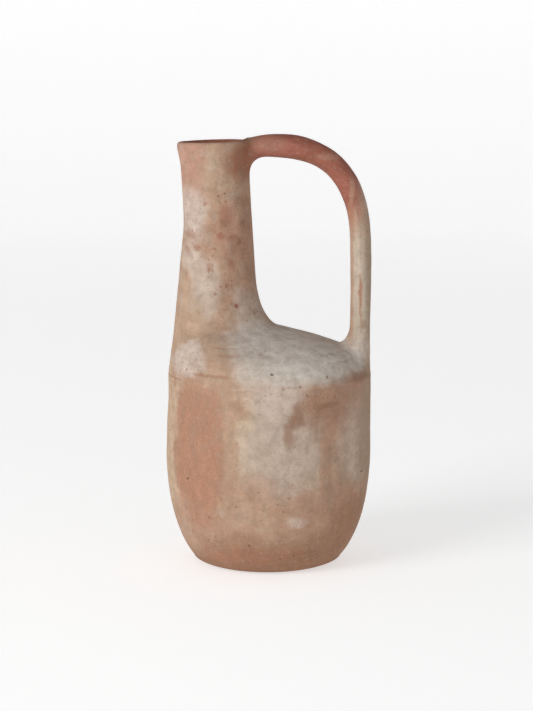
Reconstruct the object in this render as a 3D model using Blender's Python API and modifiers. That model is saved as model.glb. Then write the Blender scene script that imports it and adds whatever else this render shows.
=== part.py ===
"""A hand-built terracotta pitcher, modelled as the pieces of clay that the potter joins.

A floor slab carries a coil-built wall. The shoulder draws the wall in and over to one side, where the
neck and rim stand almost flush with the wall. One strap handle springs from the rim, arches over and
comes down on the far edge of the shoulder. Each piece is one closed solid, in metres, +Z up, with the
origin on the wall's axis at the table. +X points from the neck to the handle.
"""

import math

import bmesh
import bpy
from mathutils import Vector

MM = 0.001

# Driving dimensions, in millimetres.
JOINT_GAP = 0.3  # left between two pieces of clay that touch
WALL_THICKNESS = 6.0
RIM_THICKNESS = 5.0
FLOOR_THICKNESS = 6.8
BODY_RADIUS = 84.8
BELLY_REACH = 40.0  # how far the wall swells from the tangent of its foot to its full radius
BELLY_HEIGHT = 92.0  # where the wall reaches its full radius
BELLY_DROP = 95.5  # vertical semi-axis of the same swelling curve
FOOT_CONTACT_RADIUS = 47.0  # what touches the table
FOOT_EDGE_RADIUS = 59.4
FOOT_EDGE_HEIGHT = 3.0
SHOULDER_START = 158.0  # the joint just under the carinated edge
NECK_START = 213.0
RIM_START = 330.0
HANDLE_DEPTH = 1.2  # the strap's width over its thickness
WAD_DEPTH = 1.12  # the same for the clay smeared round its ends
WAD_LIP = 0.9  # that clay's thin edge, on top of the handle
UPPER_WAD_REACH = 11.5  # how far it spreads past the handle
UPPER_WAD_LENGTH = 16.0
LOWER_WAD_REACH = 13.0
LOWER_WAD_LENGTH = 27.0

SEGMENTS = 56  # round the vessel
WAD_SEGMENTS = 28
STRAP_ROUNDNESS = 6  # the handle's bevel resolution

# The vessel's hoops above the belly: the left end of each hoop's diameter and its right end, x and z.
# The neck's own axis is some 42 mm to the left of the wall's.
UPPER_HOOPS = [
    (-84.6, 96.0, 85.0, 96.0),
    (-84.0, 118.0, 84.9, 118.0),
    (-82.9, 140.0, 85.1, 140.0),
    (-82.6, SHOULDER_START, 85.6, SHOULDER_START),
    (-81.6, 166.0, 82.0, 166.4),
    (-80.3, 176.0, 70.5, 176.4),
    (-79.2, 185.0, 50.0, 185.1),
    (-78.1, 194.0, 19.5, 193.6),
    (-77.2, 204.0, 0.6, 203.6),
    (-76.1, NECK_START, -4.2, NECK_START),
    (-74.3, 235.0, -9.7, 235.0),
    (-71.8, 260.0, -11.3, 260.0),
    (-69.5, 285.0, -13.4, 285.0),
    (-70.6, 310.0, -14.5, 310.0),
    (-71.4, RIM_START, -15.2, RIM_START),
    (-74.2, 345.5, -15.6, 349.0),
]

# The handle's centreline, x and z, and half its thickness, from inside the rim to inside the shoulder.
STRAP = [
    (-26.0, 342.4, 7.9),
    (-12.0, 345.4, 8.2),
    (8.0, 346.9, 9.0),
    (24.0, 345.4, 9.4),
    (40.0, 340.0, 9.7),
    (53.8, 330.8, 9.5),
    (64.4, 317.3, 9.2),
    (71.6, 301.1, 9.0),
    (75.2, 283.0, 8.9),
    (76.4, 262.0, 8.8),
    (76.7, 240.0, 8.7),
    (76.4, 215.0, 8.5),
    (76.3, 196.0, 8.5),
    (75.9, 182.0, 9.0),
    (75.5, 168.0, 9.2),
]


def clear_scene():
    for thing in list(bpy.data.objects):
        bpy.data.objects.remove(thing)


def collection(name):
    made = bpy.data.collections.new(name)
    bpy.context.scene.collection.children.link(made)
    return made


def clay(name, colour, roughness):
    """A Principled material of one fired clay."""
    made = bpy.data.materials.new(name)
    made.use_nodes = True
    shader = made.node_tree.nodes["Principled BSDF"]
    shader.inputs["Base Color"].default_value = (*colour, 1.0)
    shader.inputs["Roughness"].default_value = roughness
    shader.inputs["Metallic"].default_value = 0.0
    return made


def through(keys, t):
    """The point at parameter t of a smooth curve through keys, which lie at t = 0, 1, 2 and so on."""
    last = len(keys) - 1
    i = min(int(t), last - 1)
    u = t - i
    before = keys[max(i - 1, 0)]
    start, end = keys[i], keys[i + 1]
    after = keys[min(i + 2, last)]
    point = []
    for a, b, c, d in zip(before, start, end, after):
        point.append(0.5 * (2 * b + (c - a) * u + (2 * a - 5 * b + 4 * c - d) * u**2 + (3 * b - a - 3 * c + d) * u**3))
    return tuple(point)


def belly_radius(height):
    """The wall's outer radius below its full width: an elliptical swelling."""
    fall = (BELLY_HEIGHT - height) / BELLY_DROP
    return BODY_RADIUS - BELLY_REACH * (1.0 - math.sqrt(1.0 - fall**2))


def upper_level(height):
    """The parameter in UPPER_HOOPS at which the left side reaches this height, by halving."""
    low, high = 0.0, float(len(UPPER_HOOPS) - 1)
    for _ in range(40):
        middle = (low + high) / 2
        if through(UPPER_HOOPS, middle)[1] < height:
            low = middle
        else:
            high = middle
    return high


def side_points(height):
    """The left and right ends of the vessel's outer hoop at this height, as (x, z) vectors."""
    if height < UPPER_HOOPS[0][1]:
        radius = belly_radius(height)
        return Vector((-radius, height)), Vector((radius, height))
    lx, lz, rx, rz = through(UPPER_HOOPS, upper_level(height))
    return Vector((lx, lz)), Vector((rx, rz))


def inset_points(height, inset, level_joint=False):
    """The same hoop moved into the clay by inset, square to each side; level_joint keeps its height."""
    step = 0.5
    below = side_points(height - step)
    above = side_points(height + step)
    ends = []
    for side, inward in ((0, 1.0), (1, -1.0)):
        along = (above[side] - below[side]).normalized()
        normal = Vector((along.y, -along.x)) * inward
        point = side_points(height)[side]
        moved = point + normal * inset
        if level_joint:
            moved = Vector((point.x + inward * inset / max(abs(normal.x), 0.5), point.y))
        ends.append(moved)
    return ends


def add_hoop(mesh, left, right):
    """Adds a circle whose diameter in the XZ plane runs between two (x, z) points."""
    middle = (left + right) / 2
    along = (right - left) / 2
    ring = []
    for step in range(SEGMENTS):
        turn = 2 * math.pi * step / SEGMENTS
        flat = middle + along * math.cos(turn)
        ring.append(mesh.verts.new(Vector((flat.x, along.length * math.sin(turn), flat.y)) * MM))
    return ring


def loft(name, group, hoops, material, endless=False):
    """One closed solid lofted through hoops that change size and lean, which no turned shape does.

    endless joins the last hoop to the first, as the wall of a tube does; otherwise both ends are capped.
    """
    mesh = bmesh.new()
    rings = [add_hoop(mesh, left, right) for left, right in hoops]
    pairs = list(zip(rings, rings[1:]))
    if endless:
        pairs.append((rings[-1], rings[0]))
    else:
        mesh.faces.new(rings[0])
        mesh.faces.new(rings[-1])
    for here, there in pairs:
        for step in range(SEGMENTS):
            after = (step + 1) % SEGMENTS
            mesh.faces.new((here[step], here[after], there[after], there[step]))
    bmesh.ops.recalc_face_normals(mesh, faces=mesh.faces)
    return finish_mesh(name, group, mesh, material)


def finish_mesh(name, group, mesh, material):
    data = bpy.data.meshes.new(name)
    mesh.to_mesh(data)
    mesh.free()
    made = bpy.data.objects.new(name, data)
    group.objects.link(made)
    if material:
        data.materials.append(material)
    data.shade_smooth()
    data.set_sharp_from_angle(angle=math.radians(40))
    return made


def turned(name, group, profile, material, segments=SEGMENTS):
    """A solid turned round its own Z from a profile of (radius, height) points, down its outer side."""
    mesh = bmesh.new()
    points = [mesh.verts.new((radius * MM, 0.0, height * MM)) for radius, height in profile]
    for here, there in zip(points, points[1:]):
        mesh.edges.new((here, there))
    on_axis = profile[0][0] == 0.0
    if not on_axis:
        mesh.edges.new((points[-1], points[0]))
    made = finish_mesh(name, group, mesh, material)
    screw = made.modifiers.new("turn", "SCREW")
    screw.axis = "Z"
    screw.angle = 2 * math.pi
    screw.steps = segments
    screw.render_steps = segments
    screw.use_merge_vertices = True
    screw.merge_threshold = 0.00001
    return made


def tube_section(name, group, heights, material):
    """The part of the vessel's wall between the first height and the last, with flat joint faces."""
    outer = [side_points(height) for height in heights]
    inner = []
    for place, height in enumerate(heights):
        at_joint = place in (0, len(heights) - 1)
        inner.append(inset_points(height, WALL_THICKNESS, level_joint=at_joint))
    return loft(name, group, outer + inner[::-1], material, endless=True)


def rim_section(name, group, material):
    """The mouth: the neck's last hoops, thinned to the rim's thickness and closed by a round lip."""
    body_heights = [RIM_START + JOINT_GAP, 336.0, 341.0, 345.5]
    half = RIM_THICKNESS / 2
    outer = [side_points(height) for height in body_heights]
    lip = []
    lip_steps = 6
    for step in range(1, lip_steps):
        turn = math.pi * step / lip_steps
        inset = half * (1 - math.cos(turn))
        lift = Vector((0.0, half * math.sin(turn)))
        left, right = inset_points(body_heights[-1], inset)
        lip.append((left + lift, right + lift))
    thicknesses = [WALL_THICKNESS, 5.6, 5.2, RIM_THICKNESS]
    inner = []
    for height, thickness in zip(body_heights, thicknesses):
        inner.append(inset_points(height, thickness, level_joint=height == body_heights[0]))
    return loft(name, group, outer + lip + inner[::-1], material, endless=True)


def floor_slab(group, material):
    """The flat disc that the wall stands on, with its lower edge rounded up from the table."""
    edge = []
    steps = 5
    for step in range(steps + 1):
        turn = math.pi / 2 * step / steps
        radius = FOOT_CONTACT_RADIUS + (FOOT_EDGE_RADIUS - FOOT_CONTACT_RADIUS) * math.cos(turn)
        height = FOOT_EDGE_HEIGHT * (1 - math.sin(turn))
        edge.append((radius, height))
    top = (belly_radius(FLOOR_THICKNESS), FLOOR_THICKNESS)
    profile = [(0.0, FLOOR_THICKNESS), top, *edge, (0.0, 0.0)]
    return turned("floor_slab", group, profile, material)


def floor_coil(group, material):
    """The coil of clay thumbed into the corner between the floor and the inside of the wall."""
    base = FLOOR_THICKNESS + JOINT_GAP
    height = 13.0
    steps = 6
    against_wall = []
    for step in range(steps, -1, -1):
        level = base + height * step / steps
        _, right = inset_points(level, WALL_THICKNESS + 0.8, level_joint=True)
        against_wall.append((right.x, level))
    hollow = []
    toe = against_wall[-1][0] - height
    for step in range(1, steps):
        turn = math.pi / 2 * step / steps
        radius = toe + height * (1 - math.cos(turn))
        hollow.append((radius, base + height * (1 - math.sin(turn)) + 0.6))
    return turned("floor_coil", group, against_wall + [(toe, base)] + hollow, material)


def strap(name, group, extra, material):
    """The handle, or with extra a larger copy to cut with: a bevelled curve, widened across, as a mesh."""
    curve = bpy.data.curves.new(name, "CURVE")
    curve.dimensions = "3D"
    curve.bevel_depth = MM
    curve.bevel_resolution = STRAP_ROUNDNESS
    curve.use_fill_caps = True
    spans = len(STRAP) - 1
    steps = spans * 2
    spline = curve.splines.new("POLY")
    spline.points.add(steps)
    for step, point in enumerate(spline.points):
        x, z, half = through(STRAP, spans * step / steps)
        point.co = (x * MM, 0.0, z * MM, 1.0)
        point.radius = half + extra
    drawn = bpy.data.objects.new(name + "_curve", curve)
    drawn.scale.y = HANDLE_DEPTH
    group.objects.link(drawn)
    bpy.context.view_layer.update()
    evaluated = drawn.evaluated_get(bpy.context.evaluated_depsgraph_get())
    data = bpy.data.meshes.new_from_object(evaluated)
    place = drawn.matrix_world.copy()
    bpy.data.objects.remove(drawn)

    mesh = bmesh.new()
    mesh.from_mesh(data)
    bpy.data.meshes.remove(data)
    bmesh.ops.remove_doubles(mesh, verts=mesh.verts, dist=0.00001)
    mesh.transform(place)
    bmesh.ops.recalc_face_normals(mesh, faces=mesh.faces)
    return finish_mesh(name, group, mesh, material)


def vessel_form(group, extra):
    """A cutter: the vessel's outside, solid, grown by extra, and carried up past the mouth."""
    heights = [8.0, 40.0, 92.0, 120.0, 146.0, 158.0, 162.0, 166.0, 171.0, 176.0, 180.5, 185.0, 189.5, 194.0]
    heights += [199.0, 204.0, 213.0, 224.0, 235.0, 260.0, 285.0, 310.0, 330.0, 341.0, 345.5]
    hoops = [inset_points(height, -extra) for height in heights]
    above = Vector((0.0, 30.0))
    hoops.append((hoops[-1][0] + above, hoops[-1][1] + above))
    return loft("vessel_form", group, hoops, None)


def cut(target, cutter, operation="DIFFERENCE"):
    tool = target.modifiers.new("by_" + cutter.name, "BOOLEAN")
    tool.operation = operation
    tool.solver = "EXACT"
    tool.object = cutter


def wad(name, group, base, tilt, throat, reach, length, material):
    """A trumpet of clay round the handle's end, wide at its base, an (x, z) point, and thin at its lip.

    tilt turns it from upright towards +X. The part below the base gives the cutters clay to shape.
    """
    run_in = 9.0
    steps = 6
    profile = [(0.0, length)]
    for step in range(steps, -1, -1):
        turn = math.pi / 2 * step / steps
        profile.append((throat + WAD_LIP + reach * (1 - math.sin(turn)), length * (1 - math.cos(turn))))
    profile += [(throat + WAD_LIP + reach, -run_in), (0.0, -run_in)]
    made = turned(name, group, profile, material, WAD_SEGMENTS)
    made.location = Vector((base[0], 0.0, base[1])) * MM
    made.rotation_euler.y = tilt
    made.scale.y = WAD_DEPTH
    return made


def block(name, group, centre, size):
    """A box cutter, centre and size in millimetres."""
    mesh = bmesh.new()
    bmesh.ops.create_cube(mesh, size=MM)
    bmesh.ops.scale(mesh, vec=size, verts=mesh.verts)
    bmesh.ops.translate(mesh, vec=Vector(centre) * MM, verts=mesh.verts)
    return finish_mesh(name, group, mesh, None)


def main():
    clear_scene()
    pitcher = collection("pitcher")
    cutters = collection("cutters")
    floor_clay = clay("floor_clay", (0.40, 0.20, 0.125), 0.85)
    body_clay = clay("body_clay", (0.47, 0.29, 0.20), 0.85)
    shoulder_clay = clay("shoulder_clay", (0.50, 0.42, 0.34), 0.9)
    neck_clay = clay("neck_clay", (0.47, 0.34, 0.25), 0.85)
    rim_clay = clay("rim_clay", (0.36, 0.15, 0.095), 0.75)
    handle_clay = clay("handle_clay", (0.38, 0.16, 0.105), 0.75)

    floor_slab(pitcher, floor_clay)
    floor_coil(pitcher, floor_clay)
    wall_heights = [FLOOR_THICKNESS + JOINT_GAP, 11.0, 16.0, 22.0, 30.0, 40.0, 52.0, 68.0, 90.0, 118.0, 140.0]
    tube_section("body_wall", pitcher, wall_heights + [SHOULDER_START], body_clay)
    shoulder_heights = [158.0 + JOINT_GAP, 162.0, 166.0, 171.0, 176.0, 180.5, 185.0, 189.5, 194.0, 199.0, 204.0]
    tube_section("shoulder", pitcher, shoulder_heights + [NECK_START], shoulder_clay)
    neck_heights = [NECK_START + JOINT_GAP, 224.0, 235.0, 247.0, 260.0, 272.0, 285.0, 297.0, 310.0, 320.0]
    tube_section("neck", pitcher, neck_heights + [RIM_START], neck_clay)
    rim_section("rim", pitcher, rim_clay)

    form = vessel_form(cutters, JOINT_GAP)
    strap_form = strap("strap_form", cutters, JOINT_GAP, None)
    handle = strap("handle", pitcher, 0.0, handle_clay)
    cut(handle, form)

    tilt = math.radians(82)
    upper_wad = wad("handle_upper_wad", pitcher, (-19.5, 343.9), tilt, 8.4, UPPER_WAD_REACH, UPPER_WAD_LENGTH, handle_clay)
    above_rim = block("above_rim", cutters, (-10.0, 0.0, 369.5), (60.0, 90.0, 40.0))
    for cutter in (form, strap_form, above_rim):
        cut(upper_wad, cutter)

    tilt = math.radians(2)
    lower_wad = wad("handle_lower_wad", pitcher, (75.3, 169.0), tilt, 8.6, LOWER_WAD_REACH, LOWER_WAD_LENGTH, shoulder_clay)
    outside = block("outside_edge", cutters, (100.5, 0.0, 185.0), (40.0, 90.0, 80.0))
    for cutter in (form, strap_form, outside):
        cut(lower_wad, cutter)

    for helper in cutters.objects:
        helper.hide_render = True
        helper.display_type = "WIRE"


main()
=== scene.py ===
# %% [markdown]
# # A hand-built terracotta pitcher
#
# The potter starts from a floor slab, coils the wall up from it, draws the shoulder in and over to one
# side, and raises the neck almost flush with the wall. A strap handle springs from the rim, arches over
# and comes down on the far edge of the shoulder. The clay is fired without glaze, and a chalky bloom
# lies over it in patches.
#
# This lesson builds the fired surface of each of those pieces round the fixed frame that holds their
# true sizes. Lengths are in millimetres until a mesh is made, because clay is thought of that way.

import itertools
import math

import bpy
import numpy as np
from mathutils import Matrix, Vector


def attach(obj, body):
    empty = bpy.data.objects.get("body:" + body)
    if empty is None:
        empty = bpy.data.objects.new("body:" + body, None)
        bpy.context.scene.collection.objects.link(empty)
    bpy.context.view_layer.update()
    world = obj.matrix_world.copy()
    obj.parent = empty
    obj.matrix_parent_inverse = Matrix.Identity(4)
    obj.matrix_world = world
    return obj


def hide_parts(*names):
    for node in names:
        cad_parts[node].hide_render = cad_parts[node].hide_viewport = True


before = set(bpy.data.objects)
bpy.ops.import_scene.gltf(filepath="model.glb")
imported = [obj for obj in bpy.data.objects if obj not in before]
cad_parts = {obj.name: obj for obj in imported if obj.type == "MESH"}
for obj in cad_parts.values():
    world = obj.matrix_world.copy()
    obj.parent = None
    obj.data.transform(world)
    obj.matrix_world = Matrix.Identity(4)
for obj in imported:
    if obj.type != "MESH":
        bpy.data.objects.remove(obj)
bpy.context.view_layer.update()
MM = 0.001
print("frame nodes:", ", ".join(sorted(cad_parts)))

# %% [markdown]
# ## The vessel's outline
#
# Seen from the side, the pitcher is a stack of hoops: each one has a left end and a right end, and the
# neck's hoops are small and sit far to the left. Two lists of heights and edges hold the whole form.
# A turned shape could not lean like this, so the skin is lofted through the hoops instead.

# %% Edges of the form, height then distance from the body's axis
LEFT_EDGE = [
    (96, -84.6), (118, -84), (140, -82.8), (157, -82.6), (168, -81.4), (194, -78), (218, -75.8),
    (252, -72.4), (285, -69.5), (318, -70.7), (330, -71.4), (338, -72.8), (346, -74.2), (352, -74.6),
]  # fmt: skip
RIGHT_EDGE = [
    (96, 85), (157, 85), (163, 83), (168, 80.1), (173, 75.3), (177, 70.6), (181, 62.4), (185, 51.2),
    (189, 38.2), (193.5, 21.2), (197.5, 8.2), (202, 2.2), (206, -0.8), (212, -4), (219, -6.5),
    (235, -9.7), (268, -12.1), (301, -14.1), (330, -15.2), (352, -15.6),
]  # fmt: skip
BELLY_RADIUS = 84.8
BELLY_REACH = 42.8  # how far the wall swells from its foot
BELLY_HEIGHT = 92.0
BELLY_DROP = 100.0  # the vertical half-axis of the same swelling curve
FOOT_RADIUS = 49.2  # what touches the table
FOOT_LEAN = -0.6  # the foot was cut a little to the left of the wall's axis
FOOT_TRIM = 3.2  # how much was shaved off the wall just above the foot
FOOT_TRIM_FADE = 18.0  # the height over which that fades
KINK = 6.0  # the height at which the rounded-off foot meets the wall
FLOOR_JOINT = 6.8  # the top of the floor slab
SHOULDER_JOINT = 158.0  # where the shoulder was coiled onto the wall
NECK_JOINT = 213.0
RIM_JOINT = 330.0
LIP_HEIGHT = 347.8  # where the wall stops and the rounded lip begins
LIP_TILT = 1.8  # the mouth tips up towards the handle
LIP_NOD = 1.4  # and down towards the back
TILT_STARTS = 318  # the height from which the hoops tip with the mouth
WALL = 6.0
LIP = 5.0
THINS_FROM = 325  # the wall thins from here to the lip
print(len(LEFT_EDGE), "points on the left edge,", len(RIGHT_EDGE), "on the right")


# %% Two curves to draw with
def smooth_step(low, high, value):
    """Goes from 0 at low to 1 at high, easing in and out."""
    share = np.clip((value - low) / (high - low), 0.0, 1.0)
    return share * share * (3 - 2 * share)


def monotone(keys, at):
    """A smooth curve through (position, value) keys that never overshoots them."""
    place, value = np.array(keys, float).T
    gap = np.diff(place)
    slope = np.diff(value) / gap
    bend = np.zeros_like(value)
    bend[0], bend[-1] = slope[0], slope[-1]
    same_way = slope[:-1] * slope[1:] > 0
    before, after = 2 * gap[1:] + gap[:-1], gap[1:] + 2 * gap[:-1]
    safe = np.where(same_way[:, None], np.stack([slope[:-1], slope[1:]], 1), 1.0)
    mean = (before + after) / (before / safe[:, 0] + after / safe[:, 1])
    bend[1:-1] = np.where(same_way, mean, 0.0)
    i = np.clip(np.searchsorted(place, at) - 1, 0, len(gap) - 1)
    u = np.clip((at - place[i]) / gap[i], 0.0, 1.0)
    rise = bend[i] * u * (1 - u) ** 2 - bend[i + 1] * u * u * (1 - u)
    return value[i] * (1 + 2 * u) * (1 - u) ** 2 + value[i + 1] * u * u * (3 - 2 * u) + gap[i] * rise


# %% One fine table of hoops, by height
HOOP_STEP = 0.25
FOOT_LEAN_ENDS = 60  # the height by which the wall stands on its own axis
WAIST = 290  # the narrowest part of the neck
hoop_height = np.arange(0.0, LEFT_EDGE[-1][0], HOOP_STEP)
belly_fall = np.clip((BELLY_HEIGHT - hoop_height) / BELLY_DROP, 0.0, 1.0)
belly = BELLY_RADIUS - BELLY_REACH * (1 - np.sqrt(1 - belly_fall**2))
belly -= FOOT_TRIM * np.exp(-hoop_height / FOOT_TRIM_FADE)
above_belly = hoop_height > LEFT_EDGE[0][0]
left = np.where(above_belly, monotone(LEFT_EDGE, hoop_height), -belly)
right = np.where(above_belly, monotone(RIGHT_EDGE, hoop_height), belly + 0.2)
hoop_centre = (left + right) / 2 + FOOT_LEAN * (1 - smooth_step(4, FOOT_LEAN_ENDS, hoop_height))
hoop_radius = (right - left) / 2
centre_slope = np.gradient(hoop_centre, HOOP_STEP)
radius_slope = np.gradient(hoop_radius, HOOP_STEP)
print(f"widest hoop {2 * hoop_radius.max():.1f} mm, neck {2 * hoop_radius[int(WAIST / HOOP_STEP)]:.1f} mm")


def at_height(table, height):
    """The value of one of the hoops' tables at any height."""
    return np.interp(height, hoop_height, table)


def lip_lift(x, y, height):
    """How much the tipped mouth raises a point: up at the handle and the front, down elsewhere."""
    centre, radius = at_height(hoop_centre, height), at_height(hoop_radius, height)
    tip = LIP_TILT * (x - centre) - LIP_NOD * y
    return tip / (2 * radius) * smooth_step(TILT_STARTS, LIP_HEIGHT, height)


# %% [markdown]
# ## The handle's line
#
# The handle is a coil pulled into a strap, thickest at the top of the arch and spread where it is
# pressed on at both ends. It needs a centreline in the pitcher's plane of symmetry and a thickness at
# each point of it. Across, it is wider than it is thick.

# %% The strap's centreline and half thickness: across, height, half thickness
STRAP = [
    (-17.0, 344.4, 8.0),
    (-4.0, 346.2, 9.1),
    (8.0, 346.4, 9.6),
    (24.0, 344.9, 9.7),
    (39.8, 339.7, 9.2),
    (53.8, 330.6, 9.2),
    (64.4, 317.3, 9.2),
    (71.5, 301.0, 9.0),
    (75.2, 283.0, 8.9),
    (76.4, 262.0, 8.8),
    (76.7, 240.0, 8.7),
    (76.5, 215.0, 8.4),
    (76.2, 200.0, 8.4),
    (75.8, 192.0, 8.8),
    (74.3, 184.0, 10.2),
    (71.8, 176.0, 12.8),
    (68.7, 168.0, 15.6),
]
STRAP_WIDTH = 1.22  # its width over its thickness


def rounded(keys, at):
    """A curve through keys at 0, 1, 2 and so on, rounded as a bent strip would be."""
    keys = np.array(keys, float)
    padded = np.vstack([2 * keys[0] - keys[1], keys, 2 * keys[-1] - keys[-2]])
    i = np.clip(np.floor(at).astype(int), 0, len(keys) - 2)
    u = (at - i)[:, None]
    a, b, c, d = (padded[i + k] for k in range(4))
    square, cube = 2 * a - 5 * b + 4 * c - d, 3 * b - a - 3 * c + d
    return 0.5 * (2 * b + (c - a) * u + square * u**2 + cube * u**3)


fine_line = rounded(STRAP, np.linspace(0, len(STRAP) - 1, 900))
fine_run = np.concatenate([[0], np.cumsum(np.linalg.norm(np.diff(fine_line[:, :2], axis=0), axis=1))])
strap_run = np.linspace(0, fine_run[-1], 500)
strap_line = np.stack([np.interp(strap_run, fine_run, fine_line[:, k]) for k in range(3)], 1)
strap_along = np.gradient(strap_line[:, :2], strap_run, axis=0)
strap_along /= np.linalg.norm(strap_along, axis=1)[:, None]
print(f"the strap is {strap_run[-1]:.0f} mm long, {2 * strap_line[:, 2].min():.1f} mm at its thinnest")

# %% [markdown]
# ## Where two pieces of clay are smoothed together
#
# A potter draws clay from the handle onto the neck with a thumb until no joint shows. Two distances
# describe that: how far a point is from the vessel's wall and how far from the strap. A smooth minimum
# of the two is zero on a surface that turns from one into the other through a fillet. Both meshes are
# pushed onto it, so they meet edge to edge with the same slope and stay separate pieces.


# %% Distances to the vessel and to the strap
AT_ONCE = 20000  # points measured in one go, to spare memory


def from_vessel(point):
    """Roughly how far a point is outside the vessel's outer wall or above its lip, in mm."""
    x, y, z = point[..., 0], point[..., 1], point[..., 2]
    height = np.clip(z - lip_lift(x, y, z), 0, LIP_HEIGHT)
    over = z - lip_lift(x, y, np.minimum(z, LIP_HEIGHT)) - height
    out_x = x - at_height(hoop_centre, height)
    span = np.maximum(np.hypot(out_x, y), 1e-6)
    beyond = span - at_height(hoop_radius, height)
    steep = -out_x / span * at_height(centre_slope, height) - at_height(radius_slope, height)
    beside = beyond / np.sqrt(1 + steep**2)
    over_lip = np.hypot(beyond + LIP / 2, np.maximum(over, 0)) - LIP / 2
    return np.where(over > 0, over_lip, beside)


def from_strap(point):
    """Roughly how far a point is outside the strap's surface, in mm."""
    flat = point[..., [0, 2]].reshape(-1, 2)
    across = point[..., 1].reshape(-1) / STRAP_WIDTH
    away = np.empty(len(flat))
    for start in range(0, len(flat), AT_ONCE):
        part = slice(start, start + AT_ONCE)
        gap = np.hypot(
            np.linalg.norm(flat[part, None] - strap_line[None, ::2, :2], axis=2), across[part, None]
        )
        away[part] = (gap - strap_line[None, ::2, 2]).min(axis=1)
    return away.reshape(point.shape[:-1])


# %% The smoothed form of both
LIP_FILLET = 4.5
ARCH_FILLET = 14.5  # in the crook under the arch
SHOULDER_FILLET = 5.5
HALF_WAY_UP = 260  # above it lies the strap's upper end, below it the lower one


def fillet(height):
    """The size of the smoothed fillet: broad under the arch, small on the lip and shoulder."""
    upper_end = LIP_FILLET + (ARCH_FILLET - LIP_FILLET) * (1 - smooth_step(335, 350, height))
    return np.where(height > HALF_WAY_UP, upper_end, SHOULDER_FILLET)


def from_both(point):
    """The distance to the vessel and strap smoothed into one form."""
    vessel, strap, size = from_vessel(point), from_strap(point), fillet(point[..., 2])
    near = np.maximum(size - np.abs(vessel - strap), 0) / size
    return np.minimum(vessel, strap) - near**2 * size / 4


print(f"fillets: {ARCH_FILLET} mm under the arch, {LIP_FILLET} on the lip, {SHOULDER_FILLET} below")

# %% [markdown]
# ## Marks of the hand
#
# Nothing thrown or coiled by hand is true. Smooth noise, drawn from one seeded table, moves the clay
# by tenths of a millimetre: broad dents from the palm, narrower ones from the fingers. One field moves
# every piece, so joints stay closed.

# %% Lumps of a given size
noise_source = np.random.default_rng(11)
LUMP_GAIN = 1.7  # brings the noise up to a range of about -1 to 1
noise_order = noise_source.permutation(256)
noise_slopes = noise_source.normal(size=(256, 3))
noise_slopes /= np.linalg.norm(noise_slopes, axis=1)[:, None]


def lumps(point, size, stretch=(1, 1, 1)):
    """Smooth bumps and hollows about size mm across, from -1 to 1, longer along a stretched axis."""
    place = point / (size * np.array(stretch, float)) + 40.5
    cell = np.floor(place).astype(int)
    inside = place - cell
    ease = inside**3 * (inside * (inside * 6 - 15) + 10)
    total = np.zeros(point.shape[:-1])
    for corner in itertools.product((0, 1), repeat=3):
        at = cell + corner
        row = noise_order[at[..., 0] % 256] + at[..., 1]
        row = noise_order[row % 256] + at[..., 2]
        slope = noise_slopes[noise_order[row % 256]]
        share = np.prod(np.where(corner, ease, 1 - ease), axis=-1)
        total += share * np.sum(slope * (inside - corner), axis=-1)
    return total * LUMP_GAIN


FLAT_FOOT = 14  # the marks fade out below this height, so the pitcher stands flat


def hand_marks(point):
    """How far the finished surface stands off the true form at each point, in mm."""
    palm = 0.34 * lumps(point, 62) + 0.2 * lumps(point + 300, 30)
    fingers = 0.085 * lumps(point, 12) + 0.07 * lumps(point, 15, (1.6, 1.6, 0.5))
    return (palm + fingers) * smooth_step(0, FLAT_FOOT, point[..., 2])


def grid_normals(rows):
    """Outward normals of a grid of points, rows by places round, that closes on itself round."""
    up = np.gradient(rows, axis=0)
    around = np.roll(rows, -1, axis=1) - np.roll(rows, 1, axis=1)
    normal = np.cross(around, up)
    return normal / np.maximum(np.linalg.norm(normal, axis=2, keepdims=True), 1e-9)


# %% [markdown]
# ## The vessel's skin
#
# The whole outside is one grid of points, from the middle of the foot to the top of the lip. It is cut
# into the potter's pieces afterwards, so neighbours share their edge points and normals and no seam
# shows. Rows lie closer where the shoulder is nearly level.

# %% Rows of the outer skin
AROUND = 400
JOINTS = (FLOOR_JOINT, SHOULDER_JOINT, NECK_JOINT, RIM_JOINT)
turn = np.linspace(0, 2 * np.pi, AROUND, endpoint=False)


def spaced(low, high, gap):
    """Even heights from low up to, but not at, high."""
    return list(np.linspace(low, high, max(2, round((high - low) / gap)), endpoint=False))


BANDS = [
    # the height where a band of rows begins, and the gap between its rows
    (0.35, 0.6), (FLOOR_JOINT, 1.25), (SHOULDER_JOINT, 0.55), (172, 0.42), (204, 0.9),
    (NECK_JOINT, 1.2), (RIM_JOINT, 0.8),
]  # fmt: skip
band_tops = [low for low, _ in BANDS[1:]] + [LIP_HEIGHT]
all_levels = np.array([z for (low, gap), high in zip(BANDS, band_tops) for z in spaced(low, high, gap)])
wall_levels = all_levels[all_levels > KINK + 0.3]
print(len(wall_levels), "rows above the foot's rounded edge")


def hoop(height):
    """Points of the outer hoop at this height, tipped with the mouth."""
    radius = at_height(hoop_radius, height)
    x, y = at_height(hoop_centre, height) + radius * np.cos(turn), radius * np.sin(turn)
    return np.stack([x, y, height + lip_lift(x, y, height)], axis=-1)


def level_ring(radius, height, at=turn):
    """A level circle round the foot's axis."""
    return np.stack([FOOT_LEAN + radius * np.cos(at), radius * np.sin(at), height + 0 * at], -1)


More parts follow.
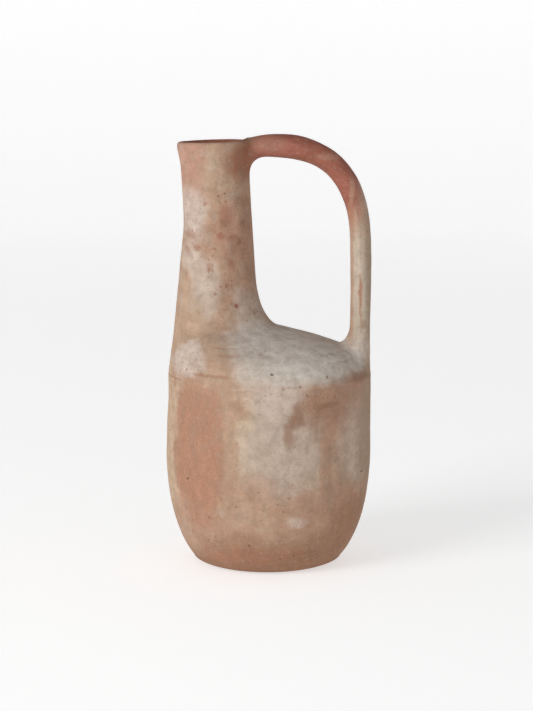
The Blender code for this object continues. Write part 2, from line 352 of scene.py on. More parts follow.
# %% The foot, its rounded edge and the wall above
FOOT_STEPS = 34
EDGE_STEPS = 12
EDGE_ROUNDNESS = 0.6  # 1 would be a true quarter of an ellipse; less lifts the edge sooner
foot_rows = [level_ring(radius, 0.0) for radius in np.linspace(0.0, FOOT_RADIUS, FOOT_STEPS)]
kink_radius = at_height(hoop_radius, KINK)
for step in range(1, EDGE_STEPS + 1):
    angle = math.pi / 2 * step / EDGE_STEPS
    edge_radius = FOOT_RADIUS + (kink_radius - FOOT_RADIUS) * math.sin(angle)
    foot_rows.append(level_ring(edge_radius, KINK * (1 - math.cos(angle)) ** EDGE_ROUNDNESS))
outer = np.array(foot_rows + [hoop(height) for height in wall_levels])
foot_count = len(foot_rows)
row_height = np.concatenate([np.zeros(foot_count), wall_levels])
print(f"outer skin: {outer.shape[0]} rows of {AROUND} points")

# %% The lip rolls over and the inside runs down again
LIP_STEPS = 12
INNER_STEP = 2  # the inside needs only every second row
lip_rows = []
mouth_centre = at_height(hoop_centre, LIP_HEIGHT)
mouth_radius = at_height(hoop_radius, LIP_HEIGHT)
for step in range(1, LIP_STEPS + 1):
    angle = math.pi * step / LIP_STEPS
    radius = mouth_radius - LIP / 2 * (1 - math.cos(angle))
    x, y = mouth_centre + radius * np.cos(turn), radius * np.sin(turn)
    z = LIP_HEIGHT + LIP / 2 * math.sin(angle) + lip_lift(x, y, LIP_HEIGHT)
    lip_rows.append(np.stack([x, y, z], axis=-1))
lip_rows = np.array(lip_rows)

plain_normals = grid_normals(outer)
inner_rows = []
for index in range(len(outer) - 2, foot_count - 1, -1):
    height = row_height[index]
    if (index - foot_count) % INNER_STEP and height not in JOINTS:
        continue
    thickness = LIP + (WALL - LIP) * (1 - smooth_step(THINS_FROM, LIP_HEIGHT, height))
    inward = outer[index] - thickness * plain_normals[index]
    inner_rows.append((height, inward))
print(f"lip: {len(lip_rows)} rows, inside: {len(inner_rows)} rows")

# %% Push the skin onto the smoothed form near the handle's ends
UNDER_HANDLE = 1.3  # how far the skin may rise past the fillet where the strap covers it
UNDER_FADE = (-3.0, 1.5)  # from no rise inside the strap to all of it just outside
REACH = 16.0  # no fillet is felt farther from the strap than this


def onto_fillet(rows, normals, weight):
    """Moves points out along their normals, up to the smoothed form, where the strap is near."""
    close = (from_strap(rows) < REACH) & (weight > 0)
    start, normal = rows[close], normals[close]
    out = np.zeros(len(start))
    most = fillet(start[:, 2]) / 4 + UNDER_HANDLE
    for _ in range(24):
        out = np.clip(out - 0.8 * from_both(start + out[:, None] * normal), 0, most)
    out *= smooth_step(*UNDER_FADE, from_strap(start)) * weight[close]
    moved = rows.copy()
    moved[close] = start + out[:, None] * normal
    return moved


whole = np.concatenate([outer, lip_rows])
whole_normals = grid_normals(whole)
outward = whole - np.array([mouth_centre, 0, 0])
outward[..., 2] = 0
outward /= np.maximum(np.linalg.norm(outward, axis=-1, keepdims=True), 1e-6)
facing_out = np.sum(outward * whole_normals, axis=-1)
at_mouth = whole[..., 2] > 300
weight = np.where(at_mouth, smooth_step(-0.8, -0.2, facing_out), 1.0)
whole = onto_fillet(whole, whole_normals, weight)
print("skin pushed onto the fillets")

# %% Hand marks, then the final normals
whole_normals = grid_normals(whole)
whole = whole + whole_normals * hand_marks(whole)[..., None]
whole[..., 2] = np.maximum(whole[..., 2], 0.0)
whole_normals = grid_normals(whole)
inside = np.array([points for _, points in inner_rows])
inside_heights = np.array([height for height, _ in inner_rows])
inside_normals = grid_normals(inside)
inside = inside + inside_normals * (0.5 * lumps(inside, 24) + 0.25 * lumps(inside, 11))[..., None]
inside_normals = grid_normals(inside)
print(f"the finished skin is {np.ptp(whole[..., 2]):.1f} mm tall")

# %% [markdown]
# ## Cutting the skin into pieces
#
# Each piece of clay is a closed shell: its stretch of the outside, its stretch of the inside, and a
# flat joint at each end. The grid's own normals are stored on the mesh, so light runs across a joint
# without a crease.


# %% A mesh from rows of points
def surface(name, rows, normals, closed_loop, cap_ends=False):
    """A mesh from a grid of points that closes on itself round, and along too if closed_loop."""
    count, around = rows.shape[:2]
    index = np.arange(count * around).reshape(count, around)
    if closed_loop:
        index = np.vstack([index, index[:1]])
    low, high = index[:-1], index[1:]
    quads = np.stack([low, np.roll(low, -1, 1), np.roll(high, -1, 1), high], axis=-1).reshape(-1, 4)
    faces = quads.tolist()
    points = rows.reshape(-1, 3)
    directions = normals.reshape(-1, 3)
    if cap_ends:
        for ring, flip in ((index[0], True), (index[-1], False)):
            hub = len(points)
            points = np.vstack([points, points[ring].mean(axis=0)])
            directions = np.vstack([directions, directions[ring].mean(axis=0)])
            for a, b in zip(ring, np.roll(ring, -1)):
                faces.append([int(b), int(a), hub] if flip else [int(a), int(b), hub])
    data = bpy.data.meshes.new(name)
    data.from_pydata((points * MM).tolist(), [], faces)
    data.validate()
    data.shade_smooth()
    data.normals_split_custom_set_from_vertices(directions.tolist())
    made = bpy.data.objects.new(name, data)
    bpy.context.scene.collection.objects.link(made)
    print(f"{name}: {len(data.polygons)} faces")
    return made


def joint_row(height):
    """The row of the outer skin at a joint's height."""
    return foot_count + int(np.argmin(np.abs(wall_levels - height)))


def tube_piece(name, low, high):
    """One coil-built section of the vessel between two joint heights; high None is the lip."""
    first = joint_row(low)
    last = joint_row(high) if high else len(whole) - 1
    outside = slice(first, last + 1)
    chosen = (inside_heights >= low) & (inside_heights <= (high or LIP_HEIGHT))
    rows = np.concatenate([whole[outside], inside[chosen]])
    normals = np.concatenate([whole_normals[outside], inside_normals[chosen]])
    return surface(name, rows, normals, closed_loop=True)


wall = tube_piece("wall_of_clay", FLOOR_JOINT, SHOULDER_JOINT)
shoulder = tube_piece("drawn_in_shoulder", SHOULDER_JOINT, NECK_JOINT)
neck = tube_piece("raised_neck", NECK_JOINT, RIM_JOINT)
rim = tube_piece("pouring_rim", RIM_JOINT, None)

# %% [markdown]
# ## The floor
#
# The pitcher stands on a slab the size of its foot, and a thin coil is thumbed into the corner above
# it to keep the joint from leaking. The slab is the grid's own foot closed over by a slightly uneven
# upper face. The coil is a ring with a hollow face, the mark of the thumb that ran round it.

# %% The floor slab, from the middle of its underside to the middle of its upper face
SLAB_STEPS = 30
SLAB_MARKS = 0.5  # mm of unevenness in the upper face
foot_last = joint_row(FLOOR_JOINT)
foot_middle = np.array([FOOT_LEAN, 0.0, 0.0])
slab_edge = whole[foot_last]
slab_top = []
for share in np.linspace(1, 0, SLAB_STEPS)[1:-1]:
    slab_ring = foot_middle + (slab_edge - foot_middle) * share
    slab_ring[:, 2] = FLOOR_JOINT + SLAB_MARKS * lumps(slab_ring, 22) * (1 - share)
    slab_top.append(slab_ring)
floor_rows = np.concatenate([whole[1 : foot_last + 1], np.array(slab_top)])
floor_normals = grid_normals(floor_rows)
floor_normals[:foot_last] = whole_normals[1 : foot_last + 1]
floor_slab = surface("floor_slab_of_clay", floor_rows, floor_normals, closed_loop=False, cap_ends=True)

# %% The coil thumbed into the corner inside
COIL_BASE = 6.9
COIL_SIZE = 13.0
COIL_GAP = 7.2  # from the wall's outside to the back of the coil
COIL_EDGE = 0.4  # the thin edge the thumb left on the floor
coil_turn = np.linspace(0, 2 * np.pi, 240, endpoint=False)
coil_rows = []
for angle in np.linspace(0, math.pi / 2, 15):
    coil_radius = at_height(hoop_radius, COIL_BASE) - COIL_GAP - COIL_SIZE * math.cos(angle)
    hollow = COIL_BASE + COIL_EDGE + COIL_SIZE * (1 - math.cos(angle))
    coil_rows.append(level_ring(coil_radius, hollow, coil_turn))
for back in np.linspace(COIL_BASE + COIL_SIZE, COIL_BASE, 13):
    coil_rows.append(level_ring(at_height(hoop_radius, back) - COIL_GAP, back, coil_turn))
coil_rows = np.array(coil_rows[::-1])
coil = surface("thumbed_coil", coil_rows, grid_normals(coil_rows), closed_loop=True)

# %% [markdown]
# ## The strap handle
#
# Lines run along the strap, each at its own angle round it. Both ends of a line are found where the
# fillet is midway between strap and vessel, and two more rings sink below the vessel's surface, so the
# strap is a closed piece that is bedded in the clay.

# %% The strap's grid
STRAP_ROUND = 72
STRAP_ROWS = 330
SWELL = 9.0  # the most a fillet may add to the strap's half thickness
END_SEARCH = 45.0  # how far from each end of the line the meeting is looked for
strap_turn = np.linspace(0, 2 * np.pi, STRAP_ROUND, endpoint=False)


def strap_point(run, angle):
    """The point of the smoothed form straight out from the strap's line, at a run along it."""
    x, z, half, ax, az = (
        np.interp(run, strap_run, column)
        for column in (*strap_line.T, strap_along[:, 0], strap_along[:, 1])
    )
    centre = np.stack([x, 0 * x, z], -1)
    out = np.stack([np.cos(angle) * az, STRAP_WIDTH * np.sin(angle), -np.cos(angle) * ax], -1)
    reach = half.copy()
    stride = np.linalg.norm(out, axis=-1)
    for _ in range(30):
        point = centre + reach[..., None] * out
        reach = np.clip(reach - 0.7 * from_both(point) / stride, half * 0.98, half + SWELL)
    return centre + reach[..., None] * out


def meeting_run(start, end):
    """For each line round the strap, the run at which strap and vessel are equally near."""
    near, far = np.full(STRAP_ROUND, float(start)), np.full(STRAP_ROUND, float(end))
    for _ in range(18):
        middle = (near + far) / 2
        point = strap_point(middle, strap_turn)
        on_strap = from_vessel(point) > from_strap(point)
        far = np.where(on_strap, middle, far)
        near = np.where(on_strap, near, middle)
    return far


# %% Where its two ends meet the pitcher
strap_end = strap_run[-1]
first_run = meeting_run(0.0, END_SEARCH)
last_run = meeting_run(strap_end, strap_end - END_SEARCH)
print(f"the upper end meets the neck {first_run.min():.1f} to {first_run.max():.1f} mm along")
print(f"the lower end meets the shoulder {last_run.min():.1f} to {last_run.max():.1f} mm along")
run_share = np.linspace(0, 1, STRAP_ROWS)[:, None]
runs = first_run[None] + (last_run - first_run)[None] * run_share
strap_rows = np.array([strap_point(run, strap_turn) for run in runs])


def bedded(ring):
    """Two rings, 1.8 and 4 mm below the vessel's surface, that carry an end of the strap down."""
    step = 0.2
    slope = np.stack(
        [(from_vessel(ring + d) - from_vessel(ring - d)) / (2 * step) for d in step * np.eye(3)], -1
    )
    slope /= np.linalg.norm(slope, axis=-1, keepdims=True)
    to_middle = ring.mean(axis=0) - ring
    return [ring + 0.1 * to_middle - 1.8 * slope, ring + 0.2 * to_middle - 4.0 * slope]


strap_marked = strap_rows + grid_normals(strap_rows) * hand_marks(strap_rows)[..., None]
top_bed, low_bed = bedded(strap_marked[0]), bedded(strap_marked[-1])
strap_grid = np.concatenate([top_bed[::-1], strap_marked, low_bed])
strap_normals = grid_normals(strap_grid)
strap_normals[2:-2] = grid_normals(strap_marked)
handle = surface("strap_handle", strap_grid, strap_normals, closed_loop=False, cap_ends=True)

# %% Every piece rides on the one body and stands for its frame pieces
PIECES = [
    (floor_slab, "floor_clay", ["floor_slab"]),
    (coil, "floor_clay", ["floor_coil"]),
    (wall, "body_clay", ["body_wall"]),
    (shoulder, "shoulder_clay", ["shoulder"]),
    (neck, "neck_clay", ["neck"]),
    (rim, "rim_clay", ["rim"]),
    (handle, "handle_clay", ["handle", "handle_upper_wad", "handle_lower_wad"]),
]
for piece, slot_name, nodes in PIECES:
    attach(piece, "root")
    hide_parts(*nodes)
print(len(PIECES), "pieces on the root body")

# %% [markdown]
# ## Fired clay, left bare
#
# The pot is low-fired earthenware without glaze. Iron in the clay burns terracotta where the flame
# reached it and buff where it did not; salts dry out of it as a chalky bloom; smoke leaves brown
# smudges. All of that lies on the surface in soft-edged patches that cross the joints, so one shared
# group of nodes holds it, and each piece's own finish adds the marks that belong to it.
# A few brown and olive patches are painted shade on the sides turned from the light, and a few pale streaks
# on the handle are painted highlights.

# %% Colours of the clay
BUFF = "#b0967f"
WARM_BUFF = "#a98770"
CREAM = "#b9a087"
TERRACOTTA = "#a47860"
PINK_CLAY = "#ad8270"
RED_CLAY = "#985c4b"
BURNT_CLAY = "#905a43"
FOOT_BROWN = "#8e6950"
# an olive-grey darkened as painted shade, for the sides turned away from the light
OLIVE_WITH_SHADE = "#967f69"
ORANGE_TAN = "#b38a70"
LIP_RED = "#8b5341"
BROWN = "#a5816b"
# a brown for smoke marks, and on the neck's right side for painted shade
SMOKE_AND_SHADE_BROWN = "#8a6650"
CHALK = "#c6bdb3"
WHITE_CHALK = "#d0c6bd"
GREY_CHALK = "#b6a596"
DUSTY_CHALK = "#bfaea1"
LEG_CHALK = "#bbaa98"
PIT = "#5a4232"
print("chalk against bare clay:", CHALK, BUFF)


# %% Helpers for colours and nodes
def linear(code):
    """A linear colour from an sRGB hex code."""
    parts = [int(code[i : i + 2], 16) / 255 for i in (1, 3, 5)]
    return (*(c / 12.92 if c <= 0.04045 else ((c + 0.055) / 1.055) ** 2.4 for c in parts), 1.0)


def add(tree, kind, inputs=None, **settings):
    """Adds a node with its settings, and fills or links each of its inputs."""
    node = tree.nodes.new("ShaderNode" + kind)
    for setting, value in settings.items():
        setattr(node, setting, value)
    for socket, value in (inputs or {}).items():
        if isinstance(value, bpy.types.NodeSocket):
            tree.links.new(value, node.inputs[socket])
        else:
            node.inputs[socket].default_value = value
    return node


def new_group(name, inputs, outputs):
    """An empty node group with the sockets named, and its two end nodes."""
    group = bpy.data.node_groups.new(name, "ShaderNodeTree")
    for way, sockets in (("INPUT", inputs), ("OUTPUT", outputs)):
        for label, kind in sockets:
            group.interface.new_socket(name=label, in_out=way, socket_type="NodeSocket" + kind)
    return group, group.nodes.new("NodeGroupInput"), group.nodes.new("NodeGroupOutput")


# %% [markdown]
# ## One soft patch
#
# A patch is a rounded box with a blurred edge, set by its middle and its half size in millimetres. It
# is worked out from a place that noise has already pushed about, so its edge wanders like a stain.

# %% The patch group: how far out of the box a place is, squared, then blurred
patch_group, patch_in, patch_out = new_group(
    "soft_patch",
    [
        ("Place", "Vector"), ("Middle", "Vector"), ("Half Size", "Vector"),
        ("Blur", "Float"), ("Squareness", "Float"),
    ],
    [("Cover", "Float")],
)
patch_offset = add(
    patch_group, "VectorMath", {0: patch_in.outputs["Place"], 1: patch_in.outputs["Middle"]},
    operation="SUBTRACT",
)
patch_share = add(
    patch_group, "VectorMath", {0: patch_offset.outputs[0], 1: patch_in.outputs["Half Size"]},
    operation="DIVIDE",
)
patch_square = add(
    patch_group, "VectorMath", {0: patch_share.outputs[0], 1: patch_share.outputs[0]},
    operation="MULTIPLY",
)
patch_round = add(
    patch_group, "VectorMath", {0: patch_share.outputs[0], 1: patch_share.outputs[0]},
    operation="DOT_PRODUCT",
)
patch_boxy = add(
    patch_group, "VectorMath", {0: patch_square.outputs[0], 1: patch_square.outputs[0]},
    operation="DOT_PRODUCT",
)
patch_reach = add(
    patch_group, "Mix",
    {0: patch_in.outputs["Squareness"], 2: patch_round.outputs["Value"], 3: patch_boxy.outputs["Value"]},
)
patch_far = add(patch_group, "Math", {0: 1.0, 1: patch_in.outputs["Blur"]}, operation="ADD")
patch_near = add(patch_group, "Math", {0: 1.0, 1: patch_in.outputs["Blur"]}, operation="SUBTRACT")
patch_cover = add(
    patch_group,
    "MapRange",
    {
        "Value": patch_reach.outputs[0],
        "From Min": patch_far.outputs[0],
        "From Max": patch_near.outputs[0],
    },
    interpolation_type="SMOOTHSTEP",
)
patch_group.links.new(patch_cover.outputs["Result"], patch_out.inputs["Cover"])
print("soft_patch:", len(patch_group.nodes), "nodes")


# %% Laying a patch over a colour
def cover_of(tree, place, patch, breakup=1.0):
    """How much of what lies under it a patch covers, at each place."""
    middle, half, squareness, blur, _, strength = patch
    shape = add(tree, "Group", {"Place": place}, node_tree=patch_group)
    shape.inputs["Middle"].default_value = middle
    shape.inputs["Half Size"].default_value = half
    shape.inputs["Blur"].default_value = blur
    shape.inputs["Squareness"].default_value = squareness
    thin = add(tree, "Math", {0: shape.outputs["Cover"], 1: strength}, operation="MULTIPLY")
    return add(tree, "Math", {0: thin.outputs[0], 1: breakup}, operation="MULTIPLY").outputs[0]


def lay(tree, place, colour, patch, breakup=1.0):
    """Mixes a patch into a colour. Returns the new colour and how much of it the patch covers."""
    cover = cover_of(tree, place, patch, breakup)
    shade = linear(patch[4])
    mixed = add(tree, "MixRGB", {"Fac": cover, "Color1": colour, "Color2": shade})
    return mixed.outputs["Color"], cover


# %% Where the patches lie: middle, half size, squareness, blur of the edge, colour, strength
ROUND, BOXY = 0.0, 1.0
FRONT_PATCHES = [
    # the belly and its foot
    ((0, -60, 20), (95, 95, 36), ROUND, 0.9, BROWN, 0.8),
    ((0, -60, 4), (95, 95, 18), ROUND, 0.9, FOOT_BROWN, 0.85),
    ((-84, -20, 112), (9, 50, 66), BOXY, 0.8, CREAM, 0.8),
    ((-16, -82, 122), (24, 34, 42), ROUND, 0.9, CREAM, 0.9),
    ((-55.5, -60, 110), (20, 60, 48), BOXY, 0.65, TERRACOTTA, 0.95),
    ((-60, -60, 70), (16, 60, 30), ROUND, 0.8, TERRACOTTA, 0.9),
    ((42, -60, 131), (28, 70, 25), ROUND, 0.9, BROWN, 1.0),
    ((62, -60, 142), (32, 70, 21), BOXY, 0.9, BROWN, 1.0),
    ((36, -70, 138), (22, 60, 14), ROUND, 0.9, SMOKE_AND_SHADE_BROWN, 0.3),
    ((10, -84, 104), (34, 60, 34), ROUND, 0.9, GREY_CHALK, 0.9),
    ((4, -85, 144), (16, 50, 32), ROUND, 0.9, GREY_CHALK, 0.9),
    ((6, -80, 154), (24, 50, 14), ROUND, 0.9, DUSTY_CHALK, 0.75),
    ((70, -30, 108), (14, 60, 34), ROUND, 0.9, GREY_CHALK, 0.6),
    # olive-grey on the belly's right edge, darkened as painted shade on the side away from the light
    ((86, -20, 110), (13, 60, 60), ROUND, 0.9, OLIVE_WITH_SHADE, 0.9),
    ((47, -68, 94), (6, 60, 26), ROUND, 0.8, BROWN, 0.8),
    ((60, -50, 52), (36, 70, 26), ROUND, 0.9, BROWN, 1.0),
    ((22, -70, 133), (7, 60, 8), ROUND, 0.9, SMOKE_AND_SHADE_BROWN, 0.85),
    ((17, -70, 120), (4, 60, 14), ROUND, 0.9, SMOKE_AND_SHADE_BROWN, 0.7),
    ((46, -70, 144), (9, 60, 3), ROUND, 0.9, SMOKE_AND_SHADE_BROWN, 0.6),
    ((72, -40, 36), (24, 60, 26), ROUND, 0.9, FOOT_BROWN, 0.85),
    ((22, -70, 48), (7, 60, 5), ROUND, 0.9, WHITE_CHALK, 0.35),
    ((-2, -80, 46), (6, 60, 22), ROUND, 0.9, CREAM, 0.4),
    ((-31, -78, 110), (7, 50, 50), ROUND, 0.9, WARM_BUFF, 0.8),
    ((-20, -80, 76), (26, 50, 12), ROUND, 0.9, BROWN, 0.5),
    ((-14, -60, 27), (38, 60, 10), ROUND, 0.9, FOOT_BROWN, 0.7),
    ((46, -60, 22), (24, 60, 14), ROUND, 0.9, FOOT_BROWN, 0.7),
    ((-12, -60, 16), (44, 60, 9), ROUND, 0.9, BURNT_CLAY, 0.35),
    ((-34, -60, 3), (44, 60, 6), ROUND, 0.9, SMOKE_AND_SHADE_BROWN, 0.5),
    # the shoulder
    ((-34, -70, 166), (34, 60, 18), ROUND, 0.9, WARM_BUFF, 0.5),
    ((18, -45, 182), (47, 62, 22), BOXY, 0.95, CHALK, 0.95),
    ((-14, -40, 212), (12, 60, 22), ROUND, 0.9, CHALK, 0.5),
    ((34, -45, 180), (28, 60, 13), ROUND, 0.9, WHITE_CHALK, 0.7),
    ((60, -45, 174), (20, 50, 14), ROUND, 0.9, CHALK, 0.7),
    # painted shade on the shoulder where it curves away to the right of the neck, under the arch
    ((32, 0, 191), (38, 30, 7), ROUND, 0.9, BROWN, 0.4),
    ((22, -50, 192), (56, 50, 8), ROUND, 0.9, WHITE_CHALK, 0.6),
    ((-64, -45, 196), (24, 60, 18), ROUND, 0.9, BUFF, 0.7),
    ((74, -45, 160), (24, 60, 5), ROUND, 0.9, SMOKE_AND_SHADE_BROWN, 0.4),
    ((70, -12, 186), (16, 36, 22), ROUND, 0.9, DUSTY_CHALK, 0.9),
    ((72, -16, 182), (10, 30, 15), ROUND, 0.9, WHITE_CHALK, 0.8),
    ((-65, -50, 176), (15, 60, 14), ROUND, 0.45, DUSTY_CHALK, 0.95),
    # the neck
    # painted shade down the neck's right side, turned away from the light
    ((-9, -10, 280), (10, 60, 60), ROUND, 0.9, SMOKE_AND_SHADE_BROWN, 0.45),
    ((-70, -20, 326), (20, 60, 34), ROUND, 0.8, PINK_CLAY, 0.8),
    ((-62, -25, 291), (12, 60, 22), ROUND, 0.9, DUSTY_CHALK, 0.9),
    ((-62, -25, 256), (9, 60, 12), ROUND, 0.9, DUSTY_CHALK, 0.8),
    ((-50, -35, 232), (12, 60, 22), ROUND, 0.9, DUSTY_CHALK, 0.75),
    ((-27, -25, 280), (15, 60, 24), ROUND, 0.9, PINK_CLAY, 0.5),
    ((-18, -25, 316), (12, 60, 30), ROUND, 0.9, CREAM, 0.5),
    ((-20, -25, 300), (9, 60, 10), ROUND, 0.9, BURNT_CLAY, 0.35),
    # brown on the neck's right side, deepened as painted shade on its side away from the light
    ((-14, -12, 290), (9, 60, 60), BOXY, 0.8, BROWN, 0.7),
    ((-26, -24, 341), (13, 40, 14), ROUND, 0.9, BROWN, 0.7),
    ((-16, -14, 336), (16, 40, 17), ROUND, 0.9, BURNT_CLAY, 1.0),
    ((-22, -30, 303), (6, 40, 6), ROUND, 0.9, SMOKE_AND_SHADE_BROWN, 0.4),
    ((-17, -30, 284), (6, 40, 9), ROUND, 0.9, SMOKE_AND_SHADE_BROWN, 0.4),
    ((-42, -34, 282), (13, 40, 4), ROUND, 0.9, SMOKE_AND_SHADE_BROWN, 0.3),
    ((-24, -30, 262), (7, 40, 9), ROUND, 0.9, SMOKE_AND_SHADE_BROWN, 0.3),
]  # fmt: skip
BACK_PATCHES = [
    ((0, 60, 4), (95, 95, 18), ROUND, 0.9, FOOT_BROWN, 0.85),
    ((40, 70, 96), (32, 60, 54), BOXY, 0.6, TERRACOTTA, 1.0),
    ((-30, 80, 120), (34, 50, 34), ROUND, 0.8, GREY_CHALK, 0.85),
    ((-50, 60, 44), (34, 60, 28), ROUND, 0.9, BROWN, 0.85),
    ((0, 60, 182), (60, 60, 20), BOXY, 0.8, CHALK, 0.85),
    ((-48, 25, 300), (18, 40, 30), ROUND, 0.8, DUSTY_CHALK, 0.8),
    ((-46, 30, 252), (14, 40, 24), ROUND, 0.9, PINK_CLAY, 0.7),
    ((-70, 40, 150), (20, 40, 26), ROUND, 0.9, PINK_CLAY, 0.6),
    ((6, 84, 62), (12, 40, 18), ROUND, 0.9, SMOKE_AND_SHADE_BROWN, 0.55),
]  # fmt: skip
SMALL_MARKS = [
    # strokes of the rib on the shoulder
    ((-34.5, -60, 187), (11, 40, 1.0), ROUND, 0.8, BURNT_CLAY, 0.3),
    ((-31.5, -60, 182), (9, 40, 1.2), ROUND, 0.8, BURNT_CLAY, 0.3),
    ((-48, -60, 166), (18, 40, 1.4), ROUND, 0.8, BURNT_CLAY, 0.35),
    ((-20, -60, 157), (14, 40, 1.0), ROUND, 0.9, WHITE_CHALK, 0.2),
    ((-79, -30, 159), (9, 40, 1.0), ROUND, 0.8, SMOKE_AND_SHADE_BROWN, 0.5),
    ((62, -45, 174), (9, 30, 0.9), ROUND, 0.8, SMOKE_AND_SHADE_BROWN, 0.25),
    ((52, -45, 180), (11, 30, 0.8), ROUND, 0.8, SMOKE_AND_SHADE_BROWN, 0.25),
    ((-25, -60, 144), (6, 40, 5), ROUND, 0.9, BURNT_CLAY, 0.3),
    # rust blotches on the neck and belly
    ((-34, -40, 292), (6, 30, 9), ROUND, 0.95, BURNT_CLAY, 0.4),
    ((-36, -40, 286), (3, 30, 4), ROUND, 0.9, SMOKE_AND_SHADE_BROWN, 0.5),
    ((-38.5, -40, 275), (3, 30, 3), ROUND, 0.9, BURNT_CLAY, 0.6),
    ((-28.5, -40, 273), (5, 30, 4), ROUND, 0.9, BURNT_CLAY, 0.5),
    ((-23, -38, 270), (2.2, 30, 3.2), ROUND, 0.9, SMOKE_AND_SHADE_BROWN, 0.85),
    ((-20.7, -36, 285), (2.4, 30, 3), ROUND, 0.9, SMOKE_AND_SHADE_BROWN, 0.6),
    ((-50.7, -36, 301), (2, 30, 2), ROUND, 0.9, BURNT_CLAY, 0.5),
    ((-58.5, -40, 265), (3.4, 30, 3), ROUND, 0.9, BURNT_CLAY, 0.6),
    ((-63, -36, 275), (5, 30, 4), ROUND, 0.9, BURNT_CLAY, 0.45),
    ((-67, -36, 264), (3, 30, 4), ROUND, 0.9, BURNT_CLAY, 0.4),
    ((-47, -40, 250), (3, 30, 3), ROUND, 0.9, BURNT_CLAY, 0.4),
    ((-30, -42, 252), (2.5, 30, 5), ROUND, 0.9, BURNT_CLAY, 0.4),
    ((-20.7, -78, 138), (6, 30, 5), ROUND, 0.9, BURNT_CLAY, 0.25),
    ((46, -60, 142), (2.4, 30, 1.6), ROUND, 0.9, BURNT_CLAY, 0.45),
    ((74, -40, 161), (6, 30, 4), ROUND, 0.9, SMOKE_AND_SHADE_BROWN, 0.35),
    ((26, -70, 159), (1.3, 30, 1.2), ROUND, 0.9, SMOKE_AND_SHADE_BROWN, 0.7),
    ((48, -60, 165), (1.1, 30, 1.1), ROUND, 0.9, SMOKE_AND_SHADE_BROWN, 0.7),
    # single spots: an iron bloom on the neck, and places where grit fell out
    ((-26, -42, 218.2), (2.1, 20, 2.1), ROUND, 0.4, LIP_RED, 0.8),
    ((-40, -26, 307.5), (0.7, 20, 0.7), ROUND, 0.6, PIT, 0.7),
    ((-35.5, -26, 309.5), (0.7, 20, 0.8), ROUND, 0.6, PIT, 0.7),
    ((3.4, -80, 169), (1.4, 30, 0.8), ROUND, 0.6, PIT, 0.8),
    ((-65.5, -60, 79), (0.8, 30, 0.9), ROUND, 0.6, PIT, 0.8),
    ((-15, -60, 27.5), (1.0, 30, 1.3), ROUND, 0.6, PIT, 0.7),
    ((77, -36, 82), (1.0, 20, 0.7), ROUND, 0.6, PIT, 0.8),
    ((32, -78, 152), (1.4, 20, 1.2), ROUND, 0.7, SMOKE_AND_SHADE_BROWN, 0.7),
]  # fmt: skip
print(len(FRONT_PATCHES), "patches at the front,", len(BACK_PATCHES), "at the back")

# %% [markdown]
# ## The shared weathering
#
# The order follows the pot's own history: clay colour, then the patches, then strokes left by the
# rib and wet fingers (up and down on the wall and neck, round on the shoulder), then dust, iron
# freckles and the pits where grit fell out. Every size is in millimetres on the pot.

# %% Places on the pot, and how uneven its clay is there
WANDERS = [
    # how wide a wander is and how far it reaches, in mm
    (6, 4), (24, 17),
]  # fmt: skip


def places(tree):
    """Places in millimetres: the true one, one with small wanders and one with large ones too."""
    coordinates = add(tree, "TexCoord")
    true = add(tree, "VectorMath", {0: coordinates.outputs["Object"], "Scale": 1 / MM}, operation="SCALE")
    found = [true.outputs["Vector"]]
    for width, most in WANDERS:
        drift = add(tree, "TexNoise", {"Vector": found[0], "Scale": 1 / width, "Detail": 2.0})
        way = add(tree, "VectorMath", {0: drift.outputs["Color"], 1: (0.5, 0.5, 0.5)}, operation="SUBTRACT")
        push = add(tree, "VectorMath", {0: way.outputs[0], "Scale": most}, operation="SCALE")
        moved = add(tree, "VectorMath", {0: found[-1], 1: push.outputs[0]}, operation="ADD")
        found.append(moved.outputs[0])
    return found


def unevenness(tree, place):
    """Clouds as wide as a hand and mottling as wide as a fingertip, from 0 to 1."""
    hand = add(tree, "TexNoise", {"Vector": place, "Scale": 1 / 46, "Detail": 3.0, "Roughness": 0.55})
    tip = add(tree, "TexNoise", {"Vector": place, "Scale": 1 / 9, "Detail": 5.0, "Roughness": 0.62})
    return hand.outputs["Fac"], tip.outputs["Fac"]


# %% The first group starts from the clay's own two colours
clay, _, clay_out = new_group(
    "clay_colours",
    [],
    [("Colour", "Color"), ("Chalk", "Float"), ("Place", "Vector"), ("Jittered", "Vector")],
)
place, jitter, wander = places(clay)
broad, mottle = unevenness(clay, place)
broad_share = add(clay, "MapRange", {"Value": broad, "From Min": 0.38, "From Max": 0.62})
colour = add(
    clay, "MixRGB",
    {"Fac": broad_share.outputs["Result"], "Color1": linear(BUFF), "Color2": linear(WARM_BUFF)},
).outputs["Color"]
print("buff and warm buff, in clouds 46 mm wide")

# %% Clouds of grey and of brown, half a thumb across
CLOUDS = [
    # width in mm, colour, the noise at which it starts and is fullest, how strong it is then
    (13, GREY_CHALK, 0.5, 0.66, 0.4),
    (17, BROWN, 0.5, 0.66, 0.4),
    (7, SMOKE_AND_SHADE_BROWN, 0.56, 0.72, 0.3),
]
for width, shade, low, high, most in CLOUDS:
    shifted = add(clay, "VectorMath", {0: wander, 1: (width * 9, 0, 0)}, operation="ADD")
    cloud = add(clay, "TexNoise", {"Vector": shifted.outputs[0], "Scale": 1 / width, "Detail": 5.0})
    cover = add(
        clay, "MapRange",
        {"Value": cloud.outputs["Fac"], "From Min": low, "From Max": high, "To Max": most},
        interpolation_type="SMOOTHSTEP",
    )
    colour = add(
        clay, "MixRGB", {"Fac": cover.outputs["Result"], "Color1": colour, "Color2": linear(shade)}
    ).outputs["Color"]
print(len(CLOUDS), "sets of clouds")

